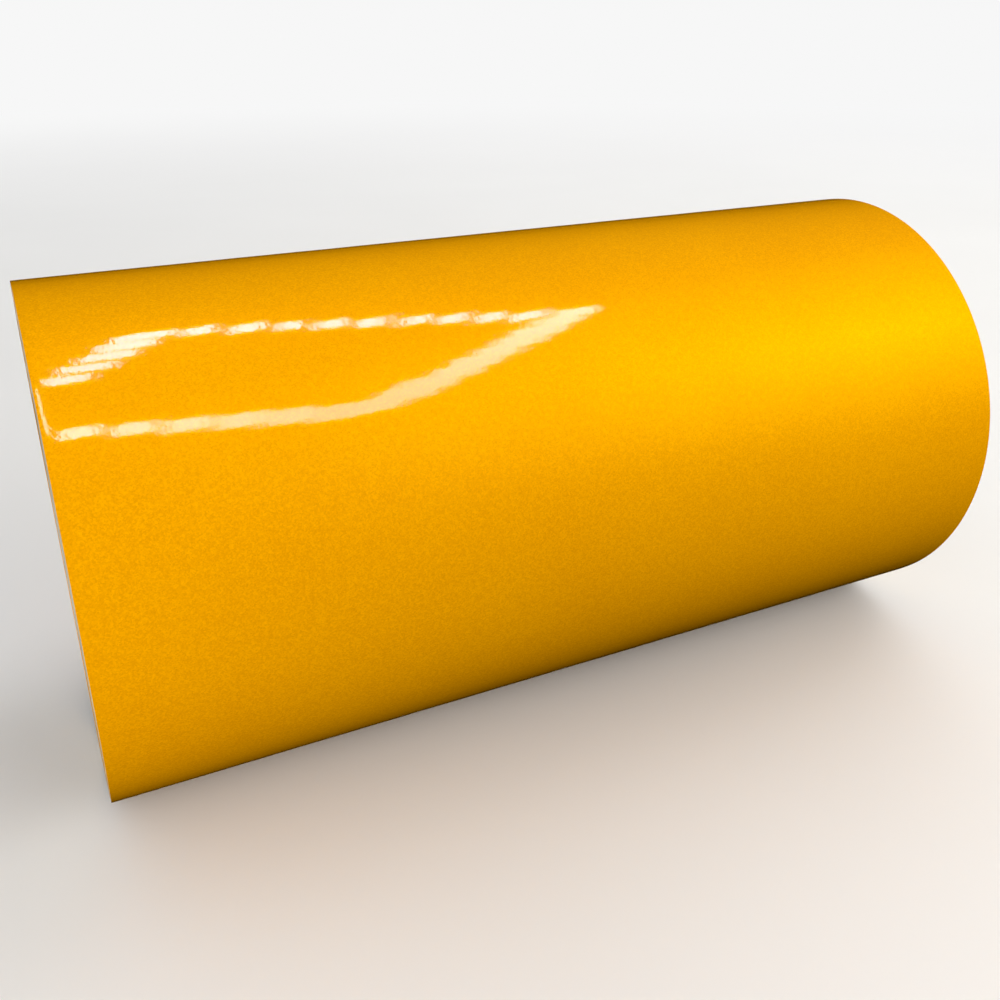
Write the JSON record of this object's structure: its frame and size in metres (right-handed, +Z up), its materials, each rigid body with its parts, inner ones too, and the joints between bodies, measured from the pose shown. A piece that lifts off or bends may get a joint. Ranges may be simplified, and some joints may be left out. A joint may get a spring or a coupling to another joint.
{
  "type": "sign vinyl roll",
  "caption": "Roll of golden self-adhesive sign vinyl wound film side out on a hollow board core, with a free tail taped down that lifts off the roll and peels off its liner.",
  "frame": {"origin": "middle of the roll's axis, halfway between its ends", "axes": "+X along the roll's axis, -Y towards the side that is looked at, +Z up"},
  "size_m": [0.305, 0.1572, 0.1573],
  "materials": {
    "film": "glossy golden film with a fine metallic flake",
    "adhesive": "clear to cream pressure-sensitive adhesive",
    "liner": "smooth coated release paper",
    "wound_web": "slit edges of film and paper liner",
    "board": "bare spiral-wound board",
    "tape": "clear adhesive tape",
    "label": "printed paper sticker"
  },
  "bodies": {
    "roll": {"core_inner_ply": "board", "core_body_ply_1": "board", "core_body_ply_2": "board", "core_body_ply_3": "board", "core_outer_ply": "board", "core_label": "label", "start_tape_left": "tape", "start_tape_middle": "tape", "start_tape_right": "tape", "first_lap_liner": "liner", "first_lap_adhesive": "adhesive", "first_lap_film": "film", "wound_turns": "wound_web", "outer_lap_liner": "liner", "outer_lap_adhesive": "adhesive", "outer_lap_film": "film"},
    "web_tail": {"tail_liner": "liner", "tail_root_adhesive": "adhesive", "tail_root_film": "film"},
    "film_tail": {"tail_adhesive": "adhesive", "tail_film": "film", "tail_tab_left": "tape", "tail_tab_right": "tape"}
  },
  "joints": [
    {"name": "tail_lift", "type": "hinge", "parent": "roll", "child": "web_tail", "pos_m": [0, 0.04236, 0.06648], "axis": [1, 0, 0], "range_deg": [0, 90], "stiffness_Nm_per_rad": 0.02},
    {"name": "film_peel", "type": "hinge", "parent": "web_tail", "child": "film_tail", "pos_m": [0, 0.05813, 0.05327], "axis": [1, 0, 0], "range_deg": [0, 90]}
  ]
}
